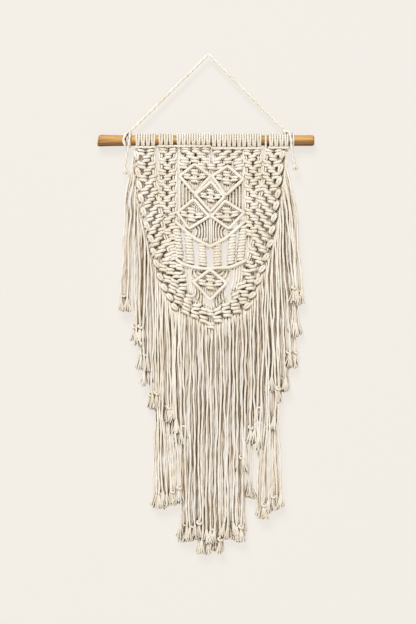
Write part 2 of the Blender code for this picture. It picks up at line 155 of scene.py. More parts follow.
# diamonds: top, right, bottom, left
DIAMONDS = {
    "upper_left": ((-26.5, -217.5), (4.5, -240.5), (-27.0, -275.0), (-56.0, -241.0)),
    "upper_right": ((37.5, -221.0), (67.5, -247.0), (33.5, -278.0), (7.0, -241.0)),
    "middle": ((5.0, -252.0), (30.5, -281.0), (4.0, -310.0), (-25.5, -277.0)),
    "lower_left": ((-28.5, -286.0), (1.0, -319.0), (-38.0, -343.0), (-60.5, -312.0)),
    "lower_right": ((32.0, -289.0), (69.0, -312.0), (39.5, -343.0), (6.0, -319.0)),
    "bottom": ((3.5, -422.5), (35.0, -449.0), (3.5, -481.5), (-29.0, -446.5)),
}
V_BAR = ((-62.0, -331.0), (-29.0, -360.0), (3.5, -377.5), (35.0, -360.0), (68.0, -331.0))
WING_BAR = ((-61.5, -403.5), (-47.0, -412.5), (-24.0, -418.5), (3.5, -421.5),
            (16.0, -419.0), (42.5, -417.5), (71.0, -405.0))

# sinnets: x, top, bottom, width
SINNETS = (
    (-58.5, -337.0, -400.0, 15.0),
    (-37.0, -352.0, -411.0, 16.0),
    (-11.5, -372.0, -415.0, 15.0),
    (17.5, -372.0, -415.0, 15.5),
    (44.5, -354.0, -412.0, 15.0),
    (64.5, -337.0, -405.0, 15.5),
)

# square knots of the lower edge, which step down to its point: x, z
LOWER_LEFT = (
    (-82.5, -406.5), (-69.0, -413.0), (-55.5, -417.5), (-51.5, -439.5),
    (-88.0, -419.5), (-74.0, -425.5), (-60.5, -433.0),
    (-79.5, -441.0), (-66.5, -448.0), (-49.5, -456.0), (-70.0, -461.0), (-55.0, -469.0),
    (-38.0, -477.0), (-59.0, -482.5), (-41.5, -488.5), (-23.5, -495.5), (-44.0, -502.0),
    (-26.5, -509.5), (-9.0, -503.0), (-9.5, -519.0),
)
LOWER_RIGHT = (
    (86.0, -420.0), (74.0, -428.0), (82.0, -441.5), (65.5, -452.5), (79.0, -456.0), (70.0, -469.0),
    (53.5, -473.0), (67.0, -483.0), (50.0, -487.5), (33.5, -494.0), (54.5, -500.5), (36.0, -508.0),
    (17.5, -503.0), (17.5, -518.5),
)
# the two knots at its point
POINT = ((3.5, -506.0), (4.5, -531.0))

# rows of square knots above the diamonds: x, z
UPPER_ROWS = (
    (-44.0, -190.0), (-24.5, -190.0), (-5.0, -190.0), (17.5, -190.5), (38.0, -190.5), (58.0, -190.5),
    (-35.0, -200.5), (-14.5, -200.5), (28.0, -201.0), (49.0, -201.5),
    (-46.0, -210.0), (-26.5, -209.0), (-5.0, -211.0), (16.5, -211.0), (37.5, -211.0), (58.0, -212.0),
    (-48.0, -221.0), (-13.0, -221.0), (5.5, -222.5), (24.0, -222.0), (60.0, -223.5),
)
MIDDLE_X = 5.5      # middle of the net, across

# fringe: each tuft's place across, the height of its end and how many strands it gathers
LEFT_TUFTS = (
    (-162.0, -503.0, 5), (-138.5, -568.0, 4), (-127.0, -619.0, 5), (-121.0, -648.0, 3),
    (-105.0, -697.0, 5), (-97.0, -888.0, 5), (-85.0, -884.0, 3), (-77.0, -717.0, 5),
    (-72.0, -882.0, 4), (-68.0, -740.0, 4), (-57.0, -880.0, 3), (-55.0, -760.0, 4),
)
RIGHT_TUFTS = (
    (173.5, -490.0, 5), (169.0, -552.0, 4), (162.5, -613.0, 5), (148.0, -661.0, 4), (137.5, -685.0, 2),
    (133.0, -890.0, 5), (124.0, -733.0, 3), (119.0, -663.0, 3), (115.0, -900.0, 2), (101.0, -907.0, 4),
    (97.0, -778.0, 2), (94.0, -716.0, 3), (86.0, -764.0, 3), (80.0, -871.0, 3), (63.5, -818.0, 3),
)
MIDDLE_TUFTS = (
    (-46.0, -951.0, 5), (-32.0, -949.0, 5), (-20.5, -947.0, 4), (-9.5, -975.0, 5), (4.0, -958.0, 5),
    (18.5, -974.0, 5), (32.0, -947.0, 4), (44.0, -945.0, 5), (57.0, -952.0, 4), (66.5, -940.0, 3),
)
# fringe: outermost strand, the bend of the edge and the innermost strand, across
LEFT_SPAN = (-160.0, -103.0, -54.0)
RIGHT_SPAN = (167.0, 112.0, 64.0)
# the row that carries the middle fringe: x, z
LOWEST_ROW = ((-55.0, -498.0), (-28.0, -512.5), (3.5, -528.0), (36.0, -512.5), (70.0, -498.0))


# ---- cords ----

def unit(value):
    """A value kept between 0 and 1."""
    return min(1.0, max(0.0, value))


def at(table, key):
    """Value of a table of (key, value) rows at a key between its rows."""
    rows = sorted(table)
    return float(np.interp(key, [row[0] for row in rows], [row[1] for row in rows]))


def smooth(points, step):
    """Evenly spaced points on a rounded curve through a few points, and their distances."""
    p = np.asarray(points, dtype=float)
    p = np.vstack([2 * p[0] - p[1], p, 2 * p[-1] - p[-2]])
    t = np.linspace(0.0, 1.0, 8, endpoint=False)[:, None]
    parts = []
    for a, b, c, d in zip(p, p[1:], p[2:], p[3:]):
        parts.append(0.5 * (2 * b + (c - a) * t + (2 * a - 5 * b + 4 * c - d) * t ** 2
                            + (3 * b - 3 * c + d - a) * t ** 3))
    dense = np.vstack(parts + [p[-2][None]])
    along = np.r_[0.0, np.cumsum(np.linalg.norm(np.diff(dense, axis=0), axis=1))]
    count = max(2, int(round(along[-1] / step)))
    places = np.linspace(0.0, along[-1], count + 1)
    return np.stack([np.interp(places, along, dense[:, k]) for k in range(3)], 1), places


def frames(path):
    """Two steady sideways vectors for every point of a path, without twisting."""
    ways = np.gradient(path, axis=0)
    ways /= np.linalg.norm(ways, axis=1)[:, None] + 1e-12
    first = np.cross(ways[0], (0.0, 1.0, 0.0))
    if np.linalg.norm(first) < 0.1:
        first = np.cross(ways[0], (1.0, 0.0, 0.0))
    side = first / np.linalg.norm(first)
    sides = np.empty_like(path)
    for i, way in enumerate(ways):
        side = side - way * np.dot(side, way)
        side = side / (np.linalg.norm(side) + 1e-12)
        sides[i] = side
    return sides, np.cross(ways, sides)


def object_of(name, data):
    """A new object in the scene, round a mesh, lamp or camera."""
    made = bpy.data.objects.new(name, data)
    bpy.context.scene.collection.objects.link(made)
    return made


class Yarn:
    """A mesh that gathers many swept cords."""

    def __init__(self, name):
        self.name = name
        self.points = []
        self.faces = []
        self.uvs = []
        self.count = 0

    def add(self, points, radius=CORD, step=STEP, sides=9, plies=3, lobe=0.10, lay=PLY_LAY,
            taper=None):
        """Sweep a cord of twisted plies along a path; lobe is how far the plies stand out."""
        path, along = smooth(points, step)
        side, up = frames(path)
        turn = 1.7 * path[0][0] + 0.9 * path[0][2]
        rows = len(path)
        angle = np.linspace(0.0, 2.0 * math.pi, sides, endpoint=False)
        twist = turn + 2.0 * math.pi * along / lay
        size = radius * (1.0 - lobe + lobe * np.cos(plies * (angle[None] - twist[:, None])))
        if taper is not None:
            share = along / along[-1]
            size *= np.interp(share, [row[0] for row in taper], [row[1] for row in taper])[:, None]
        ring = (path[:, None] + side[:, None] * (np.cos(angle)[None] * size)[..., None]
                + up[:, None] * (np.sin(angle)[None] * size)[..., None])
        self.points.append(ring.reshape(-1, 3))
        low = np.arange(rows - 1)[:, None] * sides
        a = np.arange(sides)[None]
        b = (a + 1) % sides
        quads = np.stack([low + a, low + b, low + sides + b, low + sides + a], -1).reshape(-1, 4)
        self.faces.append(quads + self.count)
        u0 = np.repeat(along[:-1, None], sides, 1)
        u1 = np.repeat(along[1:, None], sides, 1)
        v0 = np.repeat((np.arange(sides) / sides)[None], rows - 1, 0)
        v1 = v0 + 1.0 / sides
        corners = np.stack([np.stack([u0, v0], -1), np.stack([u0, v1], -1),
                            np.stack([u1, v1], -1), np.stack([u1, v0], -1)], 2).reshape(-1, 4, 2)
        corners[..., 0] += 37.0 * (self.count % 101)
        self.uvs.append(corners)
        self.count += rows * sides
        return path

    def build(self, material, replaced):
        """Make the mesh, which stands for the part's nodes that it replaces."""
        points = np.vstack(self.points) * MM
        faces = np.vstack(self.faces)
        uvs = np.vstack(self.uvs)
        mesh = bpy.data.meshes.new(self.name)
        mesh.vertices.add(len(points))
        mesh.vertices.foreach_set("co", points.astype(np.float32).ravel())
        mesh.loops.add(faces.size)
        mesh.loops.foreach_set("vertex_index", faces.astype(np.int32).ravel())
        mesh.polygons.add(len(faces))
        mesh.polygons.foreach_set("loop_start", np.arange(0, faces.size, 4, dtype=np.int32))
        mesh.polygons.foreach_set("use_smooth", np.ones(len(faces), dtype=bool))
        layer = mesh.uv_layers.new(name="cord")
        layer.data.foreach_set("uv", uvs.astype(np.float32).ravel())
        mesh.update(calc_edges=True)
        mesh.validate()
        mesh.materials.append(material)
        made = object_of(self.name, mesh)
        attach(made, "root")
        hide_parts(*replaced)
        return made


def placed(points, x, z, tilt=0.0, wide=1.0, high=1.0, y=NET_Y):
    """Points of a knot, drawn round its middle as (across, deep, up), set in the net."""
    c = math.cos(math.radians(tilt))
    s = math.sin(math.radians(tilt))
    out = []
    for across, deep, up in points:
        a = across * wide
        u = up * high
        out.append((x + a * c - u * s, y + deep, z + a * s + u * c))
    return out


# ---- knots ----

def square_knot(yarn, x, z, tilt=0.0, wide=1.0, high=1.0, flip=False, y=NET_Y, fillers=True,
                reach=KNOT_REACH):
    """Two half knots of two cords round two more; each shows one roll in front."""
    h = KNOT_HALF
    hand = -1.0 if flip else 1.0
    first = ((-reach, 0.5, 6.6), (0.3 - reach, -1.8, 5.0), (-4.0, -4.3, 3.5), (-1.0, -5.0, 3.0),
             (2.0, -4.6, 2.7), (h, -2.2, 2.3), (h + 0.3, 0.8, 0.6), (3.0, 2.8, -1.0),
             (0.0, 3.2, -2.2), (-3.5, 2.8, -3.6), (0.3 - reach, 0.8, -5.2), (-reach, 0.5, -6.6))
    second = tuple((-a, d, -u) for a, d, u in reversed(first))
    for path in (first, second):
        points = [(a * hand, d, u) for a, d, u in path]
        yarn.add(placed(points, x, z, tilt, wide, high, y), radius=KNOT_CORD * min(1.08, high + 0.08))
    if fillers:
        for a in (-2.3, 2.3):
            b = a * 1.1
            filler = ((a, 4.0, 12.5), (b, 2.6, 8.5), (a, 0.0, 0.0), (b, 2.6, -8.5), (a, 4.0, -12.5))
            yarn.add(placed(filler, x, z, tilt, wide, high, y), step=5.0)


def edge_cords(yarn, upper, lower, side):
    """The two cords at a panel's edge that pass beside a single knot."""
    for out in (12.2, 16.9):
        x = (upper[0] + lower[0]) / 2.0 + side * (out - 0.7)
        z = (upper[1] + lower[1]) / 2.0
        yarn.add(((upper[0] + side * out, NET_Y + 0.5, upper[1] - 3.0), (x, NET_Y - 1.8, z),
                  (lower[0] + side * out, NET_Y + 0.5, lower[1] + 3.0)))


def knot_band(yarn, rows, side, fall_from):
    """Rows of two square knots with single ones between, along a slanting edge.

    The rolls rise towards the middle of the net; low rows step down towards it.
    """
    rise = -side
    deep = side < 0
    for i, (x, z) in enumerate(rows):
        last = i + 1 == len(rows)
        following = (2 * x - rows[i - 1][0], 2 * z - rows[i - 1][1]) if last else rows[i + 1]
        high = (z - following[1]) / (2.0 * KNOT_HIGH)
        share = unit((-225.0 - z) / 80.0)
        fall = KNOT_SIDE * 0.42 * unit((fall_from - z) / 50.0)
        first = deep if share >= 0.5 else not deep
        slope = rise * (-2.0 + 10.0 * share)
        square_knot(yarn, x + side * KNOT_SIDE, z + fall, slope, 1.0, high, first)
        slope = rise * (4.0 + 5.0 * share)
        square_knot(yarn, x - side * KNOT_SIDE, z - fall, slope, 1.0, high, deep)
        if not last:
            between = ((x + following[0]) / 2.0, (z + following[1]) / 2.0)
            square_knot(yarn, between[0], between[1], rise * 9.0 * share, 1.0, high, deep)
            edge_cords(yarn, (x, z - fall), (following[0], following[1] - fall), rise)


def knot_rows(yarn, rows, side, whole):
    """Rows of two square knots with single ones between, hanging straight.

    From row number whole on, the outer band leaves room only for the inner knots.
    """
    for i, (x, z) in enumerate(rows):
        last = i + 1 == len(rows)
        pitch = rows[i - 1][1] - z if last else z - rows[i + 1][1]
        high = pitch / (2.0 * KNOT_HIGH)
        if side > 0 or i < whole:
            square_knot(yarn, x - KNOT_SIDE, z, -2.0, 1.0, high)
        if side < 0 or i < whole:
            square_knot(yarn, x + KNOT_SIDE, z, 3.0, 1.0, high, True)
        square_knot(yarn, x, z - pitch / 2.0, 0.0, 1.0, high, i % 2 == 0)
        if not last:
            edge_cords(yarn, (x, z), rows[i + 1], -side)
            if i + 1 < whole:
                edge_cords(yarn, (x, z), rows[i + 1], side)


def leaf_knot(yarn, x, z, lean, side, half):
    """The two cords of the edge twisted into a short fat bundle, its outer end up."""
    for start in (0.0, math.pi):
        points = []
        for k in range(8):
            share = k / 7.0
            swell = math.sin(math.pi * share) ** 0.45
            a = start + side * (0.6 - 1.5 * share)
            points.append((math.cos(a) * 2.7 * swell, 2.0 - 6.5 * swell - math.sin(a) * 1.6 * swell,
                           half - 2.0 * half * share))
        yarn.add(placed(points, x, z, lean), radius=LEAF_CORD, lobe=0.06)


def round_rod(x, degrees):
    """A place on a cord that goes round the rod."""
    a = math.radians(degrees)
    return x, math.cos(a) * TURN, ROD_Z + math.sin(a) * TURN


def larks_head(yarn, x, half):
    """A cord doubled over the rod, its two ends drawn behind its own bight."""
    for hand in (-1.0, 1.0):
        tail = x + hand * half * 0.50
        leg = x + hand * half * 0.30
        foot = x + hand * half * 0.36
        points = [(foot, NET_Y + 1.0, -193.0), (foot, -5.0, -189.0), (foot, -7.8, -184.5)]
        for degrees in (215, 195, 170, 145, 120, 95, 70, 45, 20, -5, -30, -55, -80):
            share = max(0.0, (70 - degrees) / 150.0)
            pinch = unit((degrees - 175) / 35.0)
            across = (tail + (leg - tail) * share) * (1.0 - pinch) + foot * pinch
            points.append(round_rod(across, degrees))
        points.append((leg, -5.5, ROD_Z - 15.4))
        yarn.add(points, radius=LARK_CORD)


def carrier(yarn, points, y=NET_Y - 5.4, radius=CARRIER):
    """A smooth cord that carries hitches, its ends tucked in."""
    path = [(x, y, z) for x, z in points]
    first = (points[0][0], y + 5.0, points[0][1])
    last = (points[-1][0], y + 5.0, points[-1][1])
    yarn.add([first] + path + [last], radius=radius, step=3.0, sides=10, lobe=0.05, lay=22.0)


def along_line(points, share):
    """Place at a share of the length of a line through points."""
    p = np.asarray(points, dtype=float)
    lengths = np.r_[0.0, np.cumsum(np.linalg.norm(np.diff(p, axis=0), axis=1))]
    want = share * lengths[-1]
    return float(np.interp(want, lengths, p[:, 0])), float(np.interp(want, lengths, p[:, 1]))


def hung(yarn, top, bottom, bow=0.0, y=NET_Y, radius=CORD):
    """A strand from a hitch under one bar to the next; bow bends it sideways."""
    (x0, z0), (x1, z1) = top, bottom
    across = x1 - x0
    fall = z1 - z0
    points = [(x0, y + 2.0, z0 + 2.5), (x0, y - 2.6, z0 - 2.5)]
    for share in (0.3, 0.7):
        points.append((x0 + across * share + bow * 0.8, y, z0 + fall * share))
    points += [(x1, y - 1.0, z1 + 1.0), (x1, y + 2.0, z1 - 3.0)]
    yarn.add(points, radius=radius)


def hitches(yarn, points, count):
    """A row of half hitches under a carrier cord, seen as small round loops."""
    loop = ((-1.2, 1.0, 2.5), (-0.9, 2.6, -2.2), (0.2, 4.0, -3.0), (1.0, 5.6, -0.5), (1.0, 6.0, 2.5))
    for i in range(count):
        share = (i + 0.5) / count
        x, z = along_line(points, share)
        x1, z1 = along_line(points, min(1.0, share + 0.02))
        x0, z0 = along_line(points, max(0.0, share - 0.02))
        way = np.array([x1 - x0, z1 - z0])
        way /= np.linalg.norm(way)
        normal = np.array([way[1], -way[0]])
        if normal[1] > 0.0:
            normal = -normal
        route = [(x + way[0] * a + normal[0] * n, NET_Y - 0.6 + deep, z + way[1] * a + normal[1] * n)
                 for a, n, deep in loop]
        yarn.add(route, radius=HITCH, sides=7)


def short_strand(yarn, x0, z0, x1, z1, y=NET_Y + 1.2):
    """A strand between two knots, or from a knot to the outline round it."""
    middle = ((x0 + x1) / 2.0, y - 0.6, (z0 + z1) / 2.0)
    yarn.add(((x0, y + 1.0, z0), middle, (x1, y - 0.5, z1)), radius=SHORT_STRAND)


def diamond(yarn, corners, outside=False):
    """Smooth outline with small hitches inside, and four square knots with their strands."""
    top, right, bottom, left = [np.asarray(corner, dtype=float) for corner in corners]
    wide = right[0] - left[0]
    x = (top[0] + bottom[0]) / 2.0
    upper = ([left[0], top[0], right[0]], [left[1], top[1], right[1]])
    lower = ([left[0], bottom[0], right[0]], [left[1], bottom[1], right[1]])
    scale = wide / 60.0
    level = (left[1] + right[1]) / 2.0
    tilt = math.degrees(math.atan2(right[1] - left[1], wide))
    slope = (right[1] - left[1]) / wide
    out = 0.255 * wide
    knots = ((x, level + 7.8 * scale), (x - out, level - slope * out), (x + out, level + slope * out),
             (x, level - 7.2 * scale))
    for across in (-2.4, 2.4):
        short_strand(yarn, x + across, level + 7.0, x + across, level - 7.0, NET_Y - 2.4)
    for i, (place, z) in enumerate(knots):
        square_knot(yarn, place, z, tilt * 0.6, scale * 1.06, scale * 0.90, i == 2, NET_Y + 0.4, False)
        for across in (-5.8, -2.0, 2.0, 5.8):
            near = place + across * scale
            roof = float(np.interp(near, *upper)) - 1.5
            if i != 3 and roof - z > 5.0:
                short_strand(yarn, near + (near - x) * 0.08, roof, near, z + 4.0)
            floor = float(np.interp(near, *lower)) + 1.0
            if i != 0 and z - floor > 5.0:
                end = near - (near - bottom[0]) * (0.35 if i == 3 else 0.12)
                short_strand(yarn, near, z - 4.0, end, float(np.interp(end, *lower)) + 1.0)
    for peak in (top, bottom):
        if peak is top or outside:
            for a, b in ((left, peak), (peak, right)):
                hitches(yarn, (tuple(a), tuple(b)), int(np.linalg.norm(b - a) / 4.0))
        route = [left, left * 0.5 + peak * 0.5, left * 0.08 + peak * 0.92, right * 0.08 + peak * 0.92,
                 right * 0.5 + peak * 0.5, right]
        carrier(yarn, [tuple(point) for point in route])


# ---- the pieces ----

def header(cotton):
    """Lark's heads along the rod, the bights that lie across them, and one single turn."""
    yarn = Yarn("turns_round_the_rod")
    for left, right, count in LARK_RUNS:
        pitch = (right - left) / count
        for i in range(count):
            larks_head(yarn, left + (i + 0.5) * pitch, pitch / 2.0)
    for left, right, z in BIGHTS:
        count = int((right - left) / 5.0)
        points = [(left - 1.0, -7.0, z)]
        for i in range(count + 1):
            x = left + (right - left) * i / count
            points.append((x, -12.4 - 0.5 * math.cos(math.pi * i), z + 0.5 * math.cos(math.pi * i)))
        points.append((right + 1.0, -7.0, z))
        yarn.add(points, radius=BIGHT_CORD)
    points = [(SINGLE_TURN, NET_Y, -203.0), (SINGLE_TURN, -8.0, -186.0)]
    points += [round_rod(SINGLE_TURN, degrees) for degrees in range(200, -101, -25)]
    points.append((SINGLE_TURN, -6.0, -188.0))
    yarn.add(points)
    yarn.build(cotton, ["knotted_net"])


def side_panel(cotton, name, side):
    """One side of the net: its two bands of square knots, the lower arm and the leaf knots."""
    yarn = Yarn(name)
    if side < 0:
        outer, inner, column = LEFT_OUTER, LEFT_INNER, LEFT_COLUMN
        border, edge, lower = LEFT_BORDER, LEFT_EDGE, LOWER_LEFT
    else:
        outer, inner, column = RIGHT_OUTER, RIGHT_INNER, RIGHT_COLUMN
        border, edge, lower = RIGHT_BORDER, RIGHT_EDGE, LOWER_RIGHT
    knot_band(yarn, outer, side, -360.0)
    knot_rows(yarn, inner, side, 6 if side < 0 else 4)
    for x, z in column:
        square_knot(yarn, x, z, -side * 6.0, 1.0, 1.0, side < 0)
    for shift in (0.0, 4.6):
        yarn.add([(x + side * shift, NET_Y + 0.3 * shift, z) for x, z in border], step=4.0)
    yarn.add([(x - side * 3.0, NET_Y + 5.0, z) for x, z in edge], radius=BACKING, step=6.0)
    for k, (x, z) in enumerate(lower):
        slope = 2.0 + 15.0 * unit((-412.0 - z) / 40.0)
        square_knot(yarn, x, z, side * (slope - 8.0 * (k % 2)), 1.08, 1.08, k % 3 == 0)
        for place in (x - 6.0, x, x + 6.0):
            back = NET_Y + 5.0
            yarn.add(((place, back, z + 11.0), (place, NET_Y + 3.4, z), (place, back, z - 11.0)), step=6.0)
    for i, (x, z) in enumerate(edge):
        share = i / (len(edge) - 1.0)
        lean = 14.0 + (32.0 if side < 0 else 40.0) * share
        leaf_knot(yarn, x, z, -side * lean, side, 8.8 - 1.3 * share)
    yarn.build(cotton, ["knotted_net"])


def upper_middle(cotton):
    """Square knots under the rod, and the three upper diamonds with the strands they take in."""
    yarn = Yarn("upper_middle")
    for x, z in UPPER_ROWS:
        square_knot(yarn, x, z, 0.0, 1.16, 0.96, flip=x > MIDDLE_X)
    for x, end in ((-57.0, -238.0), (68.0, -244.0)):
        hung(yarn, (x, -184.0), (x, end), 0.0, NET_Y - 1.0)
    for x, top, end in ((-62.0, -232.0, -333.0), (72.5, -236.0, -338.0)):
        hung(yarn, (x, top), (x, end), 0.0, NET_Y + 0.3)
    for x, end in ((-51.5, -236.0), (-46.5, -232.0), (-41.0, -228.0), (-35.5, -224.0), (-19.0, -222.0),
                   (-13.5, -226.0), (-8.0, -230.0), (-2.5, -236.0)):
        hung(yarn, (x, -212.0), (x, end), 0.0, NET_Y + 0.5)
        hung(yarn, (2.0 * MIDDLE_X - x, -212.0), (2.0 * MIDDLE_X - x, end - 3.0), 0.0, NET_Y + 0.5)
    hung(yarn, (1.8, -206.0), (2.6, -238.0), 0.0, NET_Y - 1.0)
    hung(yarn, (9.2, -206.0), (8.2, -240.0), 0.0, NET_Y - 1.0)
    for key in ("upper_left", "upper_right", "middle"):
        diamond(yarn, DIAMONDS[key], key == "middle")
    yarn.build(cotton, ["knotted_net"])


def fan(yarn, places, roof, floor, bow):
    """Strands that hang side by side from a bar to the next, bowed a little."""
    for i, x in enumerate(places):
        share = (i + 0.5) / len(places)
        top = float(np.interp(x, *roof)) - 3.0
        low = float(np.interp(x, *floor)) + 2.0
        hung(yarn, (x, top), (x, low), bow * (1.0 - share), radius=THIN_STRAND)
        if i:
            back = (x + places[i - 1]) / 2.0
            hung(yarn, (back, top), (back, low), bow * (1.0 - share), y=NET_Y + 5.0)


def middle_net(cotton):
    """The two lower diamonds, the strands round them, the V bar and the six sinnets."""
    yarn = Yarn("middle_net")
    for key in ("lower_left", "lower_right"):
        diamond(yarn, DIAMONDS[key])
    left = DIAMONDS["lower_left"]
    right = DIAMONDS["lower_right"]
    fan(yarn, (-55.0, -48.8, -42.6, -36.6, -31.0), ((-56.0, -27.0), (-241.0, -275.0)),
        ((left[3][0], left[0][0]), (left[3][1], left[0][1])), -1.5)
    fan(yarn, (66.0, 59.8, 53.6, 47.6, 41.6, 36.0), ((33.5, 67.5), (-278.0, -247.0)),
        ((right[0][0], right[1][0]), (right[0][1], right[1][1])), 1.5)
    fan(yarn, (-27.5, -21.0, -15.0, -9.0, -3.5, 1.5),
        ((left[2][0], left[1][0]), (left[2][1], left[1][1])), ((-29.0, 3.5), (-360.0, -377.5)), 5.0)
    fan(yarn, (34.5, 28.0, 22.0, 16.0, 10.5, 6.0),
        ((right[3][0], right[2][0]), (right[3][1], right[2][1])), ((3.5, 35.0), (-377.5, -360.0)), -5.0)
    carrier(yarn, V_BAR[:3], radius=BAR, y=NET_Y - 5.6)
    carrier(yarn, V_BAR[2:], radius=BAR, y=NET_Y - 5.8)
    hitches(yarn, V_BAR, 34)
    for x, top, bottom, wide in SINNETS:
        count = max(2, round((top - bottom) / 11.6))
        pitch = (top - bottom) / count
        lean = (MIDDLE_X - x) * 0.02
        for i in range(count):
            z = top - (i + 0.5) * pitch
            place = x + lean * (i - count / 2.0)
            broad = wide * (0.94 + 0.18 * i / count) / 14.3
            high = pitch / KNOT_HIGH
            square_knot(yarn, place, z, 0.0, broad, high, x > MIDDLE_X, fillers=False, reach=4.3)
        for share in (-1.0, -0.35, 0.35, 1.0):
            hung(yarn, (x + share * wide * 0.3, bottom + 4.0), (x + share * wide * 0.66, bottom - 7.0))
            hung(yarn, (x + share * wide * 0.45, top + 8.0), (x + share * wide * 0.3, top - 4.0))
    yarn.build(cotton, ["knotted_net"])


def lower_net(cotton):
    """The wing-shaped bar, the bottom diamond with its strands, and the net's point."""
    yarn = Yarn("lower_net")
    carrier(yarn, WING_BAR[:4], radius=BAR, y=NET_Y - 5.6)
    carrier(yarn, WING_BAR[3:], radius=BAR, y=NET_Y - 5.8)
    hitches(yarn, WING_BAR, 34)
    diamond(yarn, DIAMONDS["bottom"])
    corners = DIAMONDS["bottom"]
    for i in range(9):
        share = (i + 0.5) / 9.0
        deep = NET_Y + 4.0 * (i % 2)
        bow = 6.0 - 4.0 * share
        left_end = along_line((corners[3], corners[0]), share)
        right_end = along_line((corners[1], corners[0]), share)
        hung(yarn, (-33.0 + 22.0 * share, -419.0), left_end, -bow, deep, THIN_STRAND)
        hung(yarn, (41.0 - 22.0 * share, -419.0), right_end, bow, deep, THIN_STRAND)
    fan(yarn, (-27.5, -21.5, -15.5, -9.5),
        ((-29.0, 3.5), (-446.5, -481.5)), ((-29.0, 0.0), (-474.0, -502.0)), 3.0)
    fan(yarn, (33.5, 28.0, 22.0, 16.0, 10.5),
        ((3.5, 35.0), (-481.5, -449.0)), ((6.0, 35.0), (-504.0, -476.0)), -3.0)
    for x0, x1 in ((-37.0, -34.5), (-33.5, -31.0)):
        hung(yarn, (x0, -415.0), (x1, -468.0), -2.0)
    for x0, x1 in ((49.5, 45.0), (55.0, 49.5), (60.5, 55.0), (65.0, 60.0)):
        hung(yarn, (x0, -412.0), (x1, -460.0), 2.5)
    for x, z in POINT:
        square_knot(yarn, x, z, 0.0, 1.0, 0.95)
    yarn.build(cotton, ["knotted_net"])


def frayed_end(yarn, x, y, z, rng, knotted, long=FRAYED_LONG):
    """The brush of loose fibres at a strand's end, with a small knot above some."""
    if knotted:
        turn = ((-1.4, 0.0, 7.5), (-4.0, -2.2, 4.6), (2.2, -4.0, 1.4), (4.2, 1.0, 4.4),
                (-1.6, 3.0, 3.0), (-1.2, -0.5, -1.6))
        yarn.add([(x + a, y + b, z + c) for a, b, c in turn], radius=END_KNOT, sides=7)
    lean = rng.uniform(-4.0, 4.0)
    for i in range(FIBRES):
        angle = 2.0 * math.pi * i / FIBRES + rng.uniform(-0.3, 0.3)
        out = rng.uniform(1.5, 9.5)
        down = long * rng.uniform(0.78, 1.05)
        c = math.cos(angle)
        d = math.sin(angle)
        yarn.add(((x + c * 1.2, y + d * 1.2, z + 2.0),
                  (x + lean * 0.3 + c * out * 0.40, y + d * out * 0.3, z - down * 0.35),
                  (x + lean + c * out, y + d * out * 0.5, z - down)),
                 radius=FIBRE, sides=4, step=8.0, lobe=0.0, taper=((0.0, 1.0), (0.5, 1.0), (1.0, 0.75)))


def fringe_strand(yarn, root, middle, lane, end, y, rng, out=0.0):
    """A strand from its knot to its end: it falls, wanders and joins its tuft."""
    x0, z0 = root
    fall = max(40.0, min(190.0, abs(middle - x0) * 5.0))
    points = [(x0, 3.0, z0 + 6.0), (x0 + out, NET_Y + 2.0, z0 - 3.0)]
    wander = 0.0
    z = z0 - 18.0
    while z > end + 14.0:
        share = min(1.0, (z0 - z) / fall)
        share = share * share * (3.0 - 2.0 * share)
        near = unit((end + 170.0 - z) / 160.0)
        wander = 0.62 * wander + rng.uniform(-2.1, 2.1)
        x = x0 + out * (1.0 - share) + (middle - x0) * share + (lane - middle) * near + wander
        points.append((x, NET_Y + (y - NET_Y) * share + rng.uniform(-0.7, 0.7), z))
        z -= rng.uniform(22.0, 36.0)
    points.append((lane, y, end))
    yarn.add(points, step=LONG_STEP, lobe=0.13)


def lanes_of(tufts, rng):
    """Where each strand ends: its tuft's place, a little apart from its neighbours."""
    lanes = []
    for x, end, count in tufts:
        for k in range(count):
            lanes.append((x + (k - (count - 1) / 2.0) * LANE, end + 22.0 + rng.uniform(0.0, 9.0)))
    return sorted(lanes)


def side_fringe(cotton, name, edge, tufts, span, side, replaced):
    """The outer strands leave the steep edge and spread; the others hang under the arm."""
    yarn = Yarn(name)
    rng = np.random.default_rng(11 if side < 0 else 23)
    lanes = lanes_of(tufts, rng)
    if side > 0:
        lanes.reverse()
    first, bend, last = span
    outer = sum(1 for lane, _ in lanes if (lane - bend) * side > 0.0)
    steep = [(z, x) for x, z in edge]
    arm = list(edge[7:]) + [(last, -505.0)]
    bend_z = at(arm, bend)
    for i, (lane, end) in enumerate(lanes):
        y = SIDE_LAYERS[i % 3]
        if i < outer:
            share = i / (outer - 1.0)
            z = edge[0][1] - 6.0 + (bend_z - edge[0][1] + 6.0) * share
            x = at(steep, z) + side * 3.0
            fringe_strand(yarn, (x, z), first + (bend - first) * share, lane, end, y, rng, side * 5.0)
        else:
            share = (i - outer + 0.5) / (len(lanes) - outer)
            x = bend + (last - bend) * share
            z = at(arm, x) - 3.0
            fringe_strand(yarn, (x, z), x + side * 2.0, lane, end, y, rng, side * 2.0)
        frayed_end(yarn, lane, y, end, rng, i % 4 == 1)
    yarn.build(cotton, [replaced])


def middle_fringe(cotton):
    """The long strands that fall from the net's lowest row."""
    yarn = Yarn("middle_fringe")
    rng = np.random.default_rng(31)
    lanes = lanes_of(MIDDLE_TUFTS, rng)
    for i, (lane, end) in enumerate(lanes):
        share = i / (len(lanes) - 1.0)
        x, z = along_line(LOWEST_ROW, share)
        x += 0.9 if i % 2 else -0.9
        middle = lanes[0][0] + (lanes[-1][0] - lanes[0][0]) * share
        y = MIDDLE_LAYERS[i % 3]
        fringe_strand(yarn, (x, z), middle, lane, end, y, rng)
        frayed_end(yarn, lane, y, end, rng, i % 5 == 2)
    yarn.build(cotton, ["fringe_middle", "knotted_net"])


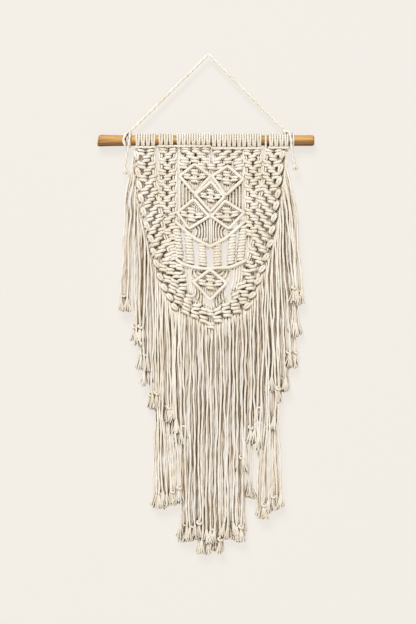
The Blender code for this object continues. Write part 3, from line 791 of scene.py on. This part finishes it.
def hanger(cotton):
    """The taut two-ply cord from one end of the rod over the hook to the other."""
    yarn = Yarn("hanger_rope")
    path = yarn.add([(x, 0.0, z) for x, z in HANGER_ROUTE], radius=ROPE * 1.06, step=2.0, sides=12,
                    plies=2, lobe=0.20, lay=ROPE_LAY)
    made = yarn.build(cotton, ["hanger_cord"])


def tie(cotton, name, node, turn_x, knot, extra, tails):
    """The hanger's end: two turns round the rod, a small knot and the ends that hang."""
    yarn = Yarn(name)
    for shift in (-2.3, 2.3):
        yarn.add([round_rod(turn_x + shift, degrees) for degrees in range(110, 480, 20)])
    for route in extra:
        yarn.add(route)
    kx, kz = knot
    for phase in (0.0, 2.1, 4.2):
        ring = []
        for k in range(9):
            a = phase + 2.0 * math.pi * k / 7.0
            height = kz + 2.2 * math.cos(a + phase) - 0.5
            ring.append((kx + math.cos(a) * 3.4, math.sin(a) * 3.0 - 0.5, height))
        yarn.add(ring, radius=TIE_CORD)
    for tail in tails:
        yarn.add(tail, radius=TAIL, plies=2, lobe=0.2, lay=ROPE_LAY, taper=((0.0, 0.9), (1.0, 1.1)))
    x, y, z = tails[-1][-1]
    frayed_end(yarn, x, y, z, np.random.default_rng(5), False, 13.0)
    yarn.build(cotton, [node])


def ties(cotton):
    """The knots at both ends of the hanger: two tails at the left, one at the right."""
    loop = ((-153.0, -5.0, -155.0), (-158.0, -13.0, -157.5), (-164.5, -16.0, -168.0),
            (-162.5, -14.5, -180.0), (-157.5, -11.0, -189.0))
    tail = ((-152.5, -12.0, -157.0), (-153.5, -16.2, -170.0), (-155.5, -15.5, -184.0),
            (-159.5, -12.5, -203.0), (-162.0, -11.0, -216.0), (-163.5, -10.5, -224.0))
    tie(cotton, "left_knot", "left_tie", -155.5, (-154.0, -156.0), (), (loop, tail))
    over = (((146.0, 0.0, -148.0), (149.0, -3.0, -152.0), (156.0, -7.0, -155.0), (161.5, -13.2, -163.0)),
            ((147.0, 2.0, -149.0), (151.0, 2.0, -151.5), (157.0, 0.0, -153.5), (163.0, -1.0, -157.2)))
    tail = ((157.5, -12.5, -158.0), (160.0, -16.4, -172.0), (161.5, -14.0, -188.0),
            (163.5, -11.5, -203.0), (166.0, -10.0, -216.0))
    tie(cotton, "right_knot", "right_tie", 162.5, (149.0, -153.0), over, (tail,))


def rod(wood):
    """A turned stick: its left end cut slanting and split, its right end rounded."""
    left, right = ROD_X
    stations = [(left, 0.80), (left + 0.8, 0.90), (left + 2.5, 0.965), (left + 6.0, 1.0)]
    x = left + 14.0
    while x < right - 12.0:
        stations.append((x, 0.985 + 0.012 * math.sin(x * 0.045)))
        x += 7.0
    stations += [(right - 6.0, 1.0), (right - 3.0, 0.975), (right - 1.2, 0.90), (right, 0.74)]
    sides = ROD_SIDES
    verts = []
    for x, scale in stations:
        lean = ROD_LEAN * max(0.0, 1.0 - (x - left) / 40.0)
        for k in range(sides):
            a = 2.0 * math.pi * k / sides
            swell = 0.975 + 0.105 * max(0.0, 1.0 - (x - left) / 75.0)
            radius = ROD_RADIUS * scale * swell
            radius *= 1.0 + 0.008 * math.sin(3 * a + x * 0.03) + 0.006 * math.sin(7 * a)
            if x < left + CRACK_LONG:
                for crack, deep in CRACKS:
                    off = math.atan2(math.sin(a - crack), math.cos(a - crack))
                    fade = 1.0 - (x - left) / CRACK_LONG
                    radius -= ROD_RADIUS * deep * fade * math.exp(-(off / CRACK_WIDE) ** 2)
            height = math.sin(a) * radius
            verts.append((x + lean * height, math.cos(a) * radius, ROD_Z + height))
    faces = []
    for i in range(len(stations) - 1):
        for k in range(sides):
            j = (k + 1) % sides
            faces.append((i * sides + k, i * sides + j, (i + 1) * sides + j, (i + 1) * sides + k))
    ends = ((0, left + 1.2), (len(stations) - 1, right - 0.2))
    for row, x in ends:
        inner = len(verts)
        for k in range(sides):
            a = 2.0 * math.pi * k / sides
            height = math.sin(a) * ROD_RADIUS * 0.45
            lean = ROD_LEAN * height if row == 0 else 0.0
            verts.append((x + lean, math.cos(a) * ROD_RADIUS * 0.45, ROD_Z + height))
        verts.append((x, 0.0, ROD_Z))
        centre = len(verts) - 1
        for k in range(sides):
            j = (k + 1) % sides
            faces.append((row * sides + k, row * sides + j, inner + j, inner + k))
            faces.append((inner + k, inner + j, centre))
    mesh = bpy.data.meshes.new("wooden_rod")
    mesh.from_pydata([tuple(c * MM for c in v) for v in verts], [], faces)
    mesh.polygons.foreach_set("use_smooth", [True] * len(mesh.polygons))
    mesh.update()
    mesh.materials.append(wood)
    made = object_of("wooden_rod", mesh)
    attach(made, "root")
    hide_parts("rod")


# ---- materials ----

def nodes_of(name):
    """A new material, its nodes, its links and its main shader."""
    made = bpy.data.materials.new(name)
    made.use_nodes = True
    tree = made.node_tree
    return made, tree.nodes, tree.links, tree.nodes["Principled BSDF"]


def math_node(nodes, links, operation, first, second):
    """A sum on two values, the second of which may be a plain number."""
    made = nodes.new("ShaderNodeMath")
    made.operation = operation
    links.new(first, made.inputs[0])
    if isinstance(second, float):
        made.inputs[1].default_value = second
    else:
        links.new(second, made.inputs[1])
    return made.outputs[0]


def noise_node(nodes, links, place, scale, detail):
    """Cloudy noise at a place."""
    made = nodes.new("ShaderNodeTexNoise")
    made.inputs["Scale"].default_value = scale
    made.inputs["Detail"].default_value = detail
    links.new(place, made.inputs["Vector"])
    return made.outputs["Fac"]


def ramp_node(nodes, links, value, first, last, *between):
    """Colours along a value, each given as (where, colour)."""
    made = nodes.new("ShaderNodeValToRGB")
    elements = made.color_ramp.elements
    for element, (where, colour) in zip(elements, (first, last)):
        element.position = where
        element.color = (*colour, 1.0)
    for where, colour in between:
        elements.new(where).color = (*colour, 1.0)
    links.new(value, made.inputs["Fac"])
    return made.outputs["Color"]


def multiplied(nodes, links, first, second):
    """One colour times another."""
    made = nodes.new("ShaderNodeMix")
    made.data_type = "RGBA"
    made.blend_type = "MULTIPLY"
    made.inputs["Factor"].default_value = 1.0
    links.new(first, made.inputs["A"])
    links.new(second, made.inputs["B"])
    return made.outputs["Result"]


def bump_node(nodes, links, shader, height, strength, distance):
    """Fine relief on the surface."""
    made = nodes.new("ShaderNodeBump")
    made.inputs["Strength"].default_value = strength
    made.inputs["Distance"].default_value = distance
    links.new(height, made.inputs["Height"])
    links.new(made.outputs["Normal"], shader.inputs["Normal"])


def cotton_material(name, reach, deep, middle, open_at):
    """Three twisted plies of combed cotton: fine fibres, faint stains, a soft sheen.

    Hollows get painted shade, browner and darker: reach is how far they look, and deep,
    middle and open_at are the shares of open view at which the painted shade begins, is half gone and
    ends.
    """
    made, nodes, links, shader = nodes_of(name)
    uv = nodes.new("ShaderNodeUVMap")
    uv.uv_map = "cord"
    split = nodes.new("ShaderNodeSeparateXYZ")
    links.new(uv.outputs["UV"], split.inputs[0])
    turns = math_node(nodes, links, "MULTIPLY", split.outputs["X"], 1.0 / PLY_LAY)
    slant = math_node(nodes, links, "SUBTRACT", split.outputs["Y"], turns)
    fibres = nodes.new("ShaderNodeCombineXYZ")
    links.new(math_node(nodes, links, "MULTIPLY", split.outputs["X"], 0.05), fibres.inputs["X"])
    links.new(math_node(nodes, links, "MULTIPLY", slant, 14.0), fibres.inputs["Y"])
    noise = noise_node(nodes, links, fibres.outputs[0], 2.2, 3.0)
    tone = ramp_node(nodes, links, noise, (0.25, (0.81, 0.725, 0.585)), (0.62, (0.955, 0.94, 0.905)))
    place = nodes.new("ShaderNodeTexCoord")
    broad = noise_node(nodes, links, place.outputs["Object"], 26.0, 2.0)
    stain = ramp_node(nodes, links, broad, (0.3, (0.90, 0.86, 0.78)), (0.7, (1.0, 1.0, 1.0)))
    mixed = multiplied(nodes, links, tone, stain)
    # painted shade: the colour turns brown to near black where the cotton is hidden from open view
    hollow = nodes.new("ShaderNodeAmbientOcclusion")
    hollow.samples = 6
    hollow.inputs["Distance"].default_value = reach
    painted_hollow_shade = ramp_node(nodes, links, hollow.outputs["AO"], (deep, (0.05, 0.025, 0.010)),
                     (open_at, (1.0, 1.0, 1.0)), (middle, (0.50, 0.345, 0.185)))
    links.new(multiplied(nodes, links, mixed, painted_hollow_shade), shader.inputs["Base Color"])
    bump_node(nodes, links, shader, noise, 0.35, 0.0006)
    shader.inputs["Roughness"].default_value = 0.9
    shader.inputs["Specular IOR Level"].default_value = 0.15
    shader.inputs["Sheen Weight"].default_value = 0.12
    shader.inputs["Sheen Roughness"].default_value = 0.5
    return made


def wood_material():
    """Oiled pale wood: long grain in two browns, with painted shade that darkens the rod's underside."""
    made, nodes, links, shader = nodes_of("rod_wood_look")
    place = nodes.new("ShaderNodeTexCoord")
    stretch = nodes.new("ShaderNodeMapping")
    stretch.inputs["Scale"].default_value = (5.0, 90.0, 90.0)
    links.new(place.outputs["Object"], stretch.inputs["Vector"])
    grain = noise_node(nodes, links, stretch.outputs["Vector"], 3.0, 6.0)
    tone = ramp_node(nodes, links, grain, (0.34, (0.34, 0.15, 0.034)), (0.60, (0.70, 0.385, 0.105)))
    split = nodes.new("ShaderNodeSeparateXYZ")
    links.new(place.outputs["Object"], split.inputs[0])
    # painted shade: the wood's colour darkens towards the rod's underside
    height = nodes.new("ShaderNodeMapRange")
    height.inputs["From Min"].default_value = (ROD_Z - ROD_RADIUS) * MM
    height.inputs["From Max"].default_value = (ROD_Z + ROD_RADIUS) * MM
    links.new(split.outputs["Z"], height.inputs["Value"])
    painted_underside_shade = ramp_node(nodes, links, height.outputs["Result"], (0.02, (0.26, 0.19, 0.14)),
                     (0.62, (1.0, 1.0, 1.0)))
    links.new(multiplied(nodes, links, tone, painted_underside_shade), shader.inputs["Base Color"])
    bump_node(nodes, links, shader, grain, 0.4, 0.0005)
    shader.inputs["Roughness"].default_value = 0.5
    return made


# ---- camera, light and stage ----

def camera():
    """A long lens straight in front of the hanging, as in the photo."""
    lens = bpy.data.cameras.new("camera")
    lens.lens = CAMERA_LENS
    lens.sensor_width = 36.0
    made = object_of("camera", lens)
    made.location = CAMERA_PLACE
    made.rotation_euler = (math.radians(90.0), 0.0, 0.0)
    bpy.context.scene.camera = made


def area_light(name, place, target, size, power, colour):
    """A square lamp turned to a target, in metres."""
    lamp = bpy.data.lights.new(name, "AREA")
    lamp.shape = "RECTANGLE"
    lamp.size = size
    lamp.size_y = size
    lamp.energy = power
    lamp.color = colour
    made = object_of(name, lamp)
    made.location = place
    made.rotation_euler = (Vector(target) - Vector(place)).to_track_quat("-Z", "Y").to_euler()


def studio():
    """A key lamp from the upper left, a weak warm fill, one behind for the back, a dim room."""
    area_light("key", (-1.3, -5.6, 3.9), (0.0, 0.0, -0.52), 3.0, 500.0, (1.0, 1.0, 1.0))
    area_light("fill", (2.4, -3.6, -0.4), (0.0, 0.0, -0.5), 2.0, 12.0, (1.0, 0.91, 0.78))
    area_light("behind", (0.6, 3.6, 1.6), (0.0, 0.0, -0.45), 2.5, 40.0, (1.0, 0.98, 0.95))
    bpy.context.scene.view_settings.view_transform = "Standard"
    world = bpy.data.worlds.new("room")
    world.use_nodes = True
    background = world.node_tree.nodes["Background"]
    background.inputs["Color"].default_value = (1.0, 0.87, 0.68, 1.0)
    background.inputs["Strength"].default_value = 0.07
    bpy.context.scene.world = world


def plain(name, colour):
    """A matt material of one colour."""
    made, _, _, shader = nodes_of(name)
    shader.inputs["Base Color"].default_value = (*colour, 1.0)
    shader.inputs["Roughness"].default_value = 0.95
    return made


def sheet_of(name, corners, colour):
    """A flat surface of the stage, which isn't part of the object."""
    mesh = bpy.data.meshes.new(name)
    mesh.from_pydata([tuple(c * MM for c in corner) for corner in corners], [], [(0, 1, 2, 3)])
    mesh.materials.append(plain(name, colour))
    made = object_of(name, mesh)
    return made


def stage():
    """A pale floor, and a wall close behind: it glows, shows only from its front and casts no shadow."""
    wide, long = FLOOR_HALF
    sheet_of("floor", ((-wide, -long, FLOOR_Z), (wide, -long, FLOOR_Z), (wide, long, FLOOR_Z),
                       (-wide, long, FLOOR_Z)), (0.86, 0.83, 0.78))
    wall = sheet_of("wall", ((-WALL_HALF, WALL_Y, FLOOR_Z), (WALL_HALF, WALL_Y, FLOOR_Z),
                             (WALL_HALF, WALL_Y, WALL_TOP), (-WALL_HALF, WALL_Y, WALL_TOP)),
                    (0.105, 0.10, 0.095))
    wall.visible_shadow = False
    tree = wall.data.materials[0].node_tree
    side = tree.nodes.new("ShaderNodeNewGeometry")
    clear = tree.nodes.new("ShaderNodeBsdfTransparent")
    mix = tree.nodes.new("ShaderNodeMixShader")
    tree.links.new(side.outputs["Backfacing"], mix.inputs[0])
    glow = tree.nodes["Principled BSDF"]
    tree.links.new(glow.outputs[0], mix.inputs[1])
    tree.links.new(clear.outputs[0], mix.inputs[2])
    tree.links.new(mix.outputs[0], tree.nodes["Material Output"].inputs["Surface"])
    glow.inputs["Emission Color"].default_value = (1.0, 0.955, 0.89, 1.0)
    glow.inputs["Emission Strength"].default_value = 0.76


def main():
    camera()
    cotton = cotton_material("cotton_knots_look", 0.0095, 0.23, 0.32, 0.42)
    loose = cotton_material("cotton_fringe_look", 0.014, 0.12, 0.34, 0.60)
    hanger(cotton)
    wood = wood_material()
    rod(wood)
    ties(cotton)
    header(cotton)
    side_panel(cotton, "left_panel", -1.0)
    side_panel(cotton, "right_panel", 1.0)
    upper_middle(cotton)
    middle_net(cotton)
    lower_net(cotton)
    side_fringe(loose, "left_fringe", LEFT_EDGE, LEFT_TUFTS, LEFT_SPAN, -1.0, "fringe_left")
    side_fringe(loose, "right_fringe", RIGHT_EDGE, RIGHT_TUFTS, RIGHT_SPAN, 1.0, "fringe_right")
    middle_fringe(loose)
    stage()
    studio()


main()
